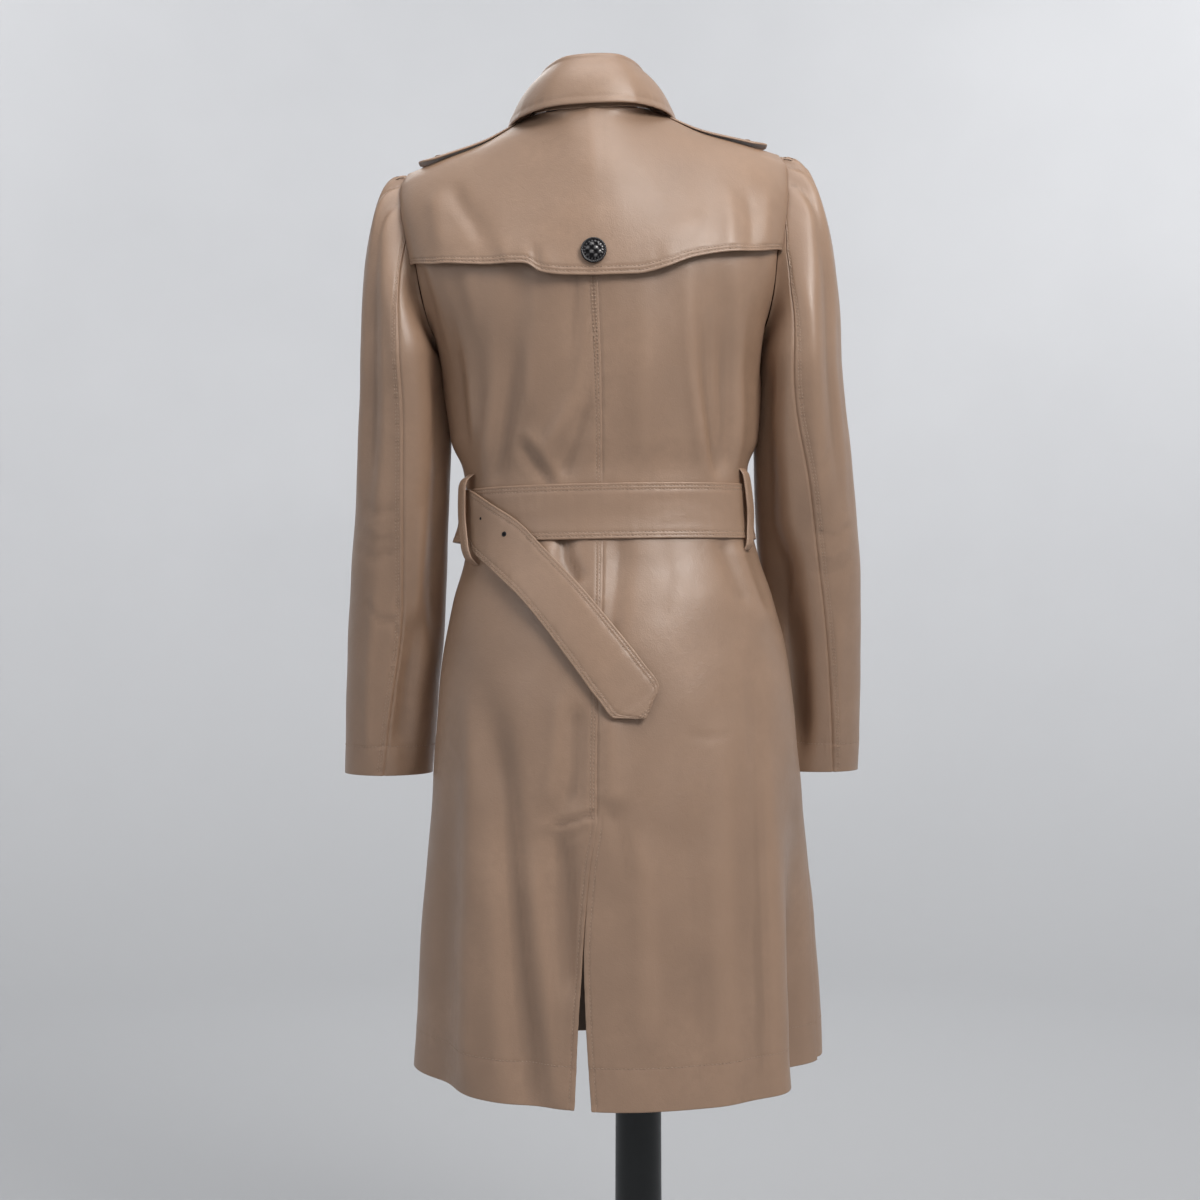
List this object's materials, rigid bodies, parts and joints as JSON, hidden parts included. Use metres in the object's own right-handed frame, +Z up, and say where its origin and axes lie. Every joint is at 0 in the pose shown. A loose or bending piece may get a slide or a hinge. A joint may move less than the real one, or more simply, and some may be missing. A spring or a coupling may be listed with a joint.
{
  "type": "leather trench coat on a dress form",
  "caption": "Taupe leather trench coat, belted, with storm flap, epaulettes and back vent, standing on a black dress form.",
  "frame": {"origin": "centre of the base's underside, on the floor, on the axis of the post", "axes": "+Z up along the post, +Y towards the coat's back, -Y towards its fronts, +X towards the wearer's left"},
  "size_m": [0.557, 0.36, 1.454],
  "materials": {
    "leather": "satin",
    "belt_leather": "satin",
    "button_metal": "gloss",
    "form_cloth": "matte",
    "stand_metal": "satin"
  },
  "bodies": {
    "root": {"back_left": "leather", "back_right": "leather", "storm_flap": "leather", "front_left": "leather", "front_right": "leather", "lapel_left": "leather", "lapel_right": "leather", "collar": "leather", "top_sleeve_left": "leather", "under_sleeve_left": "leather", "top_sleeve_right": "leather", "under_sleeve_right": "leather", "epaulette_left": "leather", "epaulette_right": "leather", "belt": "belt_leather", "belt_tail": "belt_leather", "belt_loop_left": "belt_leather", "belt_loop_right": "belt_leather", "buckle": "belt_leather", "buckle_prong": "belt_leather", "storm_flap_button": "button_metal", "epaulette_button_left": "leather", "epaulette_button_right": "leather", "front_button_1": "button_metal", "front_button_2": "button_metal", "front_button_3": "button_metal", "front_button_4": "button_metal", "front_button_5": "button_metal", "front_button_6": "button_metal", "form_torso": "form_cloth", "form_pole": "stand_metal", "form_base": "stand_metal"}
  },
  "joints": []
}
